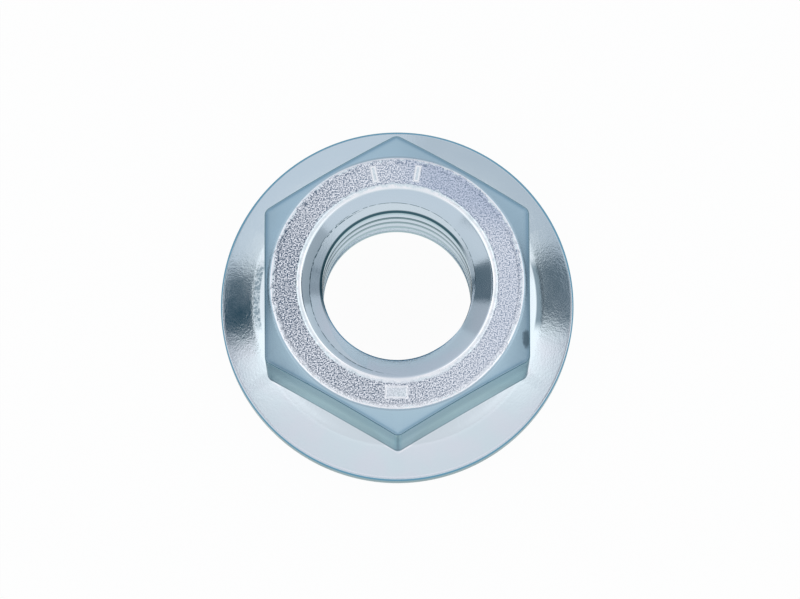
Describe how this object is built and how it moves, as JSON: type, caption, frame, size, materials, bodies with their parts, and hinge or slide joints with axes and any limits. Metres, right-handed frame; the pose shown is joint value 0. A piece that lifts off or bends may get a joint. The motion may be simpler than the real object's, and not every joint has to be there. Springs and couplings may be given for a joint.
{
  "type": "hex flange nut",
  "caption": "One-piece hex flange nut: a hexagon with a chamfered top on a round coned flange, with a threaded through bore.",
  "frame": {"origin": "centre of the flat bearing face under the flange", "axes": "+Z along the thread axis, from the bearing face to the top face; +X through the middle of one flat of the hexagon"},
  "size_m": [0.0204, 0.0204, 0.0097],
  "materials": {
    "zinc_plate": "bright zinc plating with a pale blue cast, satin on the flange and grained on the top face"
  },
  "bodies": {
    "root": {"flange_nut": "zinc_plate"}
  },
  "joints": []
}
